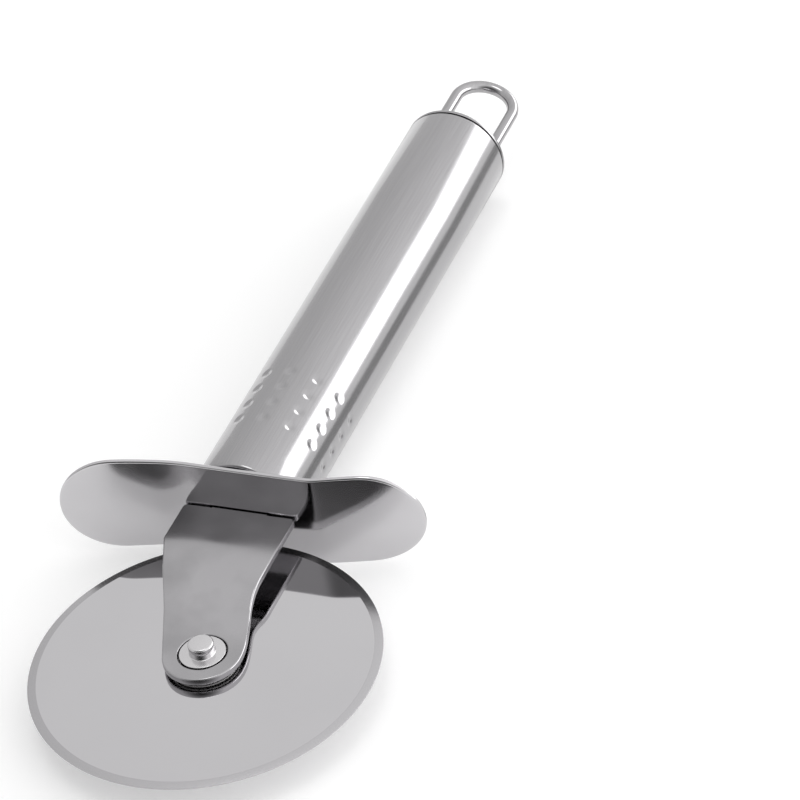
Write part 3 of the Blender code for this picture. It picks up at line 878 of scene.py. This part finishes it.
class MESH_OT_end_cap(PizzaCutterOperator, bpy.types.Operator):
    """Builds the drawn cap with its two holes for the loop"""

    bl_idname = "mesh.pizza_end_cap"
    bl_label = "End Cap"

    def build(self, settings):
        """Revolves the cap and drills it."""
        handle = settings.handle
        loop = settings.loop
        plug = handle.radius - handle.wall - FIT_GAP
        inner = plug - handle.cap_skirt
        lip = handle.cap_lip
        profile = rounded(
            [
                (0, lip, 0),
                (handle.radius, lip, handle.cap_round),
                (handle.radius, 0, handle.cap_round / 4),
                (plug, 0, 0),
                (plug, -handle.cap_depth, handle.cap_round / 2),
                (inner, -handle.cap_depth, 0),
                (inner, 0, handle.cap_round),
                (0, 0, 0),
            ]
        )
        cap = turned(profile, handle.sides)
        station = tube_station(settings) + handle.tube_length + FIT_GAP
        steel = satin_steel("cap_steel", settings.finish.satin)
        piece = finished(
            "cap_shell", cap, handle_place(settings, station), steel, "handle", "end_cap"
        )
        for side in (1, -1):
            self.drill(piece, settings, side, station)

    def drill(self, piece, settings, side, station):
        """Cuts one leg hole into the piece's mesh."""
        loop = settings.loop
        bm = bmesh.new()
        radius = loop.wire_radius + FIT_GAP
        depth = settings.handle.cap_lip * 4
        bmesh.ops.create_cone(
            bm, cap_ends=True, segments=HOLE_STEPS, radius1=radius, radius2=radius, depth=depth
        )
        across = side * loop.half_width
        offset = Matrix.Translation((across * cos(loop.turn), across * sin(loop.turn), 0))
        bmesh.ops.transform(bm, matrix=handle_place(settings, station) @ offset, verts=bm.verts)
        mesh = bpy.data.meshes.new("leg_hole")
        bm.to_mesh(mesh)
        bm.free()
        cutter = bpy.data.objects.new("leg_hole", mesh)
        bpy.context.scene.collection.objects.link(cutter)
        boolean = piece.modifiers.new("hole", "BOOLEAN")
        boolean.operation = "DIFFERENCE"
        boolean.solver = "EXACT"
        boolean.object = cutter
        bpy.context.view_layer.update()
        graph = bpy.context.evaluated_depsgraph_get()
        drilled = bpy.data.meshes.new_from_object(piece.evaluated_get(graph))
        drilled.name = piece.name
        piece.modifiers.remove(boolean)
        piece.data = drilled
        drilled.set_sharp_from_angle(angle=SHARP_ANGLE)
        bpy.data.objects.remove(cutter)


class MESH_OT_hanging_loop(PizzaCutterOperator, bpy.types.Operator):
    """Builds the U of round wire"""

    bl_idname = "mesh.pizza_hanging_loop"
    bl_label = "Hanging Loop"

    def push(self, bm, edges, vector):
        """Runs the wire straight on and returns its new end."""
        grown = bmesh.ops.extrude_edge_only(bm, edges=edges)["geom"]
        verts = [item for item in grown if isinstance(item, bmesh.types.BMVert)]
        bmesh.ops.translate(bm, verts=verts, vec=vector)
        return [item for item in grown if isinstance(item, bmesh.types.BMEdge) and item.is_boundary]

    def bend(self, bm, edges, centre, angle, steps):
        """Bends the wire round a centre and returns its new end."""
        verts = list({vert for edge in edges for vert in edge.verts})
        result = bmesh.ops.spin(
            bm, geom=verts + edges, cent=centre, axis=(0, 0, 1), angle=angle, steps=steps, use_merge=False
        )
        return [item for item in result["geom_last"] if isinstance(item, bmesh.types.BMEdge)]

    def build(self, settings):
        """Draws a ring of wire section through feet, legs and bow."""
        loop = settings.loop
        handle = settings.handle
        tube_end = tube_station(settings) + handle.tube_length
        lip = tube_end + FIT_GAP
        bend = loop.wire_radius + FIT_GAP
        bow_centre = tube_end + loop.reach - loop.half_width - loop.wire_radius
        leg = bow_centre - lip
        bm = bmesh.new()
        start = Matrix.Translation((loop.half_width - bend - loop.foot_length, lip - bend, 0))
        bmesh.ops.create_circle(
            bm, segments=loop.sides, radius=loop.wire_radius, matrix=start @ Matrix.Rotation(pi / 2, 4, "Y")
        )
        end = bm.edges[:]
        end = self.push(bm, end, (loop.foot_length, 0, 0))
        end = self.bend(bm, end, (loop.half_width - bend, lip, 0), pi / 2, FOOT_STEPS)
        end = self.push(bm, end, (0, leg, 0))
        end = self.bend(bm, end, (0, bow_centre, 0), pi, BOW_STEPS)
        end = self.push(bm, end, (0, -leg, 0))
        end = self.bend(bm, end, (bend - loop.half_width, lip, 0), pi / 2, FOOT_STEPS)
        self.push(bm, end, (loop.foot_length, 0, 0))
        bmesh.ops.remove_doubles(bm, verts=bm.verts, dist=WELD)
        bmesh.ops.holes_fill(bm, edges=bm.edges, sides=loop.sides)
        bmesh.ops.recalc_face_normals(bm, faces=bm.faces)
        wire = drawn_wire("bright_wire", settings.finish.wire)
        place = tool_place(settings) @ Matrix.Rotation(loop.turn, 4, "Y")
        finished("loop_wire", bm, place, wire, "handle", "hanging_loop")


class OBJECT_OT_finishes(PizzaCutterOperator, bpy.types.Operator):
    """Gives the washers and the plug their finishes"""

    bl_idname = "object.pizza_finishes"
    bl_label = "Washers and Plug"

    def build(self, settings):
        """Puts a material in the slot of each CAD node that stays."""
        pale = moulded_nylon("pale_nylon", settings.finish.pale)
        dark = moulded_nylon("dark_nylon", settings.finish.dark)
        for node, material in (
            ("spacer_washer_upper", pale),
            ("spacer_washer_lower", pale),
            ("handle_insert", dark),
        ):
            mesh = frame["nodes"][node].data
            mesh.materials.clear()
            mesh.materials.append(material)


# Studio


class OBJECT_OT_studio(PizzaCutterOperator, bpy.types.Operator):
    """Sets up the floor, the softbox, the world and the camera"""

    bl_idname = "object.pizza_studio"
    bl_label = "Studio"

    def build(self, settings):
        """Builds the studio round the tool."""
        studio = settings.studio
        self.floor(studio)
        self.world(studio)
        self.softbox(studio)
        self.strip(studio)
        self.camera(studio)
        bpy.context.scene.view_settings.view_transform = "Standard"

    def card(self, name, bm, shader, nodes, material):
        """Object of a flat shape whose surface is a shader's output."""
        output = nodes.add("ShaderNodeOutputMaterial")
        nodes.link(shader, output.inputs["Surface"])
        mesh = bpy.data.meshes.new(name)
        bm.to_mesh(mesh)
        bm.free()
        mesh.materials.append(material)
        card = bpy.data.objects.new(name, mesh)
        bpy.context.scene.collection.objects.link(card)
        return card

    def blank(self, owner):
        """The emptied node tree of a material or world."""
        owner.use_nodes = True
        owner.node_tree.nodes.clear()
        return Nodes(owner.node_tree)

    def floor(self, studio):
        """Round white floor that keeps the tool's shadow."""
        bm = bmesh.new()
        bmesh.ops.create_circle(bm, cap_ends=True, segments=FLOOR_STEPS, radius=studio.floor_radius)
        material = bpy.data.materials.new("floor_white")
        nodes = self.blank(material)
        tone = studio.floor_tone
        paint = nodes.add("ShaderNodeBsdfDiffuse", Color=(tone, tone, tone, 1))
        path = nodes.add("ShaderNodeLightPath")
        seen = nodes.math("MAXIMUM", path.outputs["Is Camera Ray"], path.outputs["Is Glossy Ray"])
        glow = nodes.add("ShaderNodeEmission", Color=WHITE)
        nodes.link(nodes.math("MULTIPLY", seen, studio.floor_glow), glow.inputs["Strength"])
        both = nodes.add("ShaderNodeAddShader")
        nodes.link(paint.outputs[0], both.inputs[0])
        nodes.link(glow.outputs[0], both.inputs[1])
        floor = self.card("floor", bm, both.outputs[0], nodes, material)

    def world(self, studio):
        """White backdrop. Light comes from all round and above, but a patch on the camera's side is dark."""
        world = bpy.data.worlds.new("studio")
        bpy.context.scene.world = world
        nodes = self.blank(world)
        direction = nodes.add("ShaderNodeTexCoord").outputs["Generated"]
        toward = nodes.add("ShaderNodeVectorMath", operation="DOT_PRODUCT")
        toward.inputs[1].default_value = PATCH_WAY
        nodes.link(direction, toward.inputs[0])
        sky = nodes.between(toward.outputs["Value"], studio.sky, studio.patch, studio.patch_edge)
        parts = nodes.split(direction)
        slant = nodes.between(parts["X"], 1 - studio.sky_slant, 1 + studio.sky_slant, -1)
        above = nodes.between(
            parts["Z"], 0, studio.overhead, studio.overhead_edge, studio.overhead_full
        )
        light = nodes.math("ADD", nodes.math("MULTIPLY", sky, slant), above)
        path = nodes.add("ShaderNodeLightPath")
        strength = nodes.add("ShaderNodeMix")
        nodes.link(path.outputs["Is Camera Ray"], strength.inputs["Factor"])
        nodes.link(light, strength.inputs["A"])
        strength.inputs["B"].default_value = 1
        background = nodes.add("ShaderNodeBackground")
        nodes.link(strength.outputs[0], background.inputs["Strength"])
        output = nodes.add("ShaderNodeOutputWorld")
        nodes.link(background.outputs[0], output.inputs["Surface"])

    def softbox(self, studio):
        """Soft rectangular lamp that faces the tool."""
        light = bpy.data.lights.new("softbox", "AREA")
        light.shape = "RECTANGLE"
        light.size, light.size_y = studio.lamp_width, studio.lamp_height
        light.energy = studio.lamp_light * pi * studio.lamp_width * studio.lamp_height
        softbox = bpy.data.objects.new("softbox", light)
        ray = Vector(SOFTBOX_WAY).normalized()
        softbox.location = ray * studio.lamp_distance
        softbox.rotation_euler = ray.to_track_quat("Z", "Y").to_euler()
        softbox.visible_camera = False
        bpy.context.scene.collection.objects.link(softbox)

    def strip(self, studio):
        """Glowing grey strip on the floor beside the handle, which only reflections show: a painted dark
        reflection along the handle's tube.
        """
        bm = bmesh.new()
        bmesh.ops.create_grid(bm, x_segments=1, y_segments=1, size=1)
        half = (studio.strip_half_width, studio.strip_half_length, 1)
        bmesh.ops.scale(bm, verts=bm.verts, vec=half)
        place = (studio.strip_place, studio.strip_station, studio.strip_height)
        bmesh.ops.translate(bm, verts=bm.verts, vec=place)
        material = bpy.data.materials.new("painted_reflection_strip")
        nodes = self.blank(material)
        tone = studio.strip_tone
        # Painted dark reflection: the strip glows darker than the floor and only glossy rays see it
        glow = nodes.add("ShaderNodeEmission", Color=(tone, tone, tone, 1))
        strip = self.card("strip", bm, glow.outputs[0], nodes, material)
        strip.visible_camera = False
        strip.visible_diffuse = False
        strip.visible_shadow = False

    def camera(self, studio):
        """Camera at the photograph's viewing angle."""
        data = bpy.data.cameras.new("camera")
        data.sensor_width = 36
        data.lens = studio.lens
        data.clip_start, data.clip_end = 0.01, 20
        camera = bpy.data.objects.new("camera", data)
        bpy.context.scene.collection.objects.link(camera)
        camera.rotation_mode = "QUATERNION"
        camera.location = CAMERA_PLACE
        camera.rotation_quaternion = Quaternion(CAMERA_TURN)
        bpy.context.scene.camera = camera


class VIEW3D_PT_pizza_cutter(bpy.types.Panel):
    """Sidebar panel that lists the pieces and their sizes"""

    bl_label = "Pizza Cutter"
    bl_idname = "VIEW3D_PT_pizza_cutter"
    bl_space_type = "VIEW_3D"
    bl_region_type = "UI"
    bl_category = "Pizza Cutter"

    def draw(self, context):
        """Shows each operator and then the sizes."""
        layout = self.layout
        for operator in OPERATORS:
            layout.operator(operator.bl_idname)
        settings = context.scene.pizza_cutter
        for group in settings.bl_rna.properties:
            if group.type == "POINTER" and group.identifier != "rna_type":
                box = layout.box()
                box.label(text=group.identifier.replace("_", " "))
                values = getattr(settings, group.identifier)
                for value in values.bl_rna.properties:
                    if value.identifier not in ("rna_type", "name"):
                        box.prop(values, value.identifier)


GROUPS = (
    PizzaCutterWheel,
    PizzaCutterAxle,
    PizzaCutterArm,
    PizzaCutterGuard,
    PizzaCutterHandle,
    PizzaCutterLoop,
    PizzaCutterFinish,
    PizzaCutterStudio,
    PizzaCutterSettings,
)
OPERATORS = (
    MESH_OT_cutting_wheel,
    MESH_OT_axle,
    MESH_OT_wheel_arm,
    MESH_OT_finger_guard,
    MESH_OT_handle_tube,
    MESH_OT_end_cap,
    MESH_OT_hanging_loop,
    OBJECT_OT_finishes,
    OBJECT_OT_studio,
)
CLASSES = GROUPS + OPERATORS + (VIEW3D_PT_pizza_cutter,)


def register():
    """Registers all classes and the settings."""
    for each in CLASSES:
        bpy.utils.register_class(each)
    bpy.types.Scene.pizza_cutter = PointerProperty(type=PizzaCutterSettings)


def unregister():
    """Removes what register adds."""
    del bpy.types.Scene.pizza_cutter
    for each in reversed(CLASSES):
        bpy.utils.unregister_class(each)


def main():
    """Builds every piece and the studio."""
    register()
    bpy.ops.mesh.pizza_cutting_wheel()
    bpy.ops.mesh.pizza_axle()
    bpy.ops.mesh.pizza_wheel_arm()
    bpy.ops.mesh.pizza_finger_guard()
    bpy.ops.mesh.pizza_handle_tube()
    bpy.ops.mesh.pizza_end_cap()
    bpy.ops.mesh.pizza_hanging_loop()
    bpy.ops.object.pizza_finishes()
    bpy.ops.object.pizza_studio()


if __name__ == "__main__":
    main()
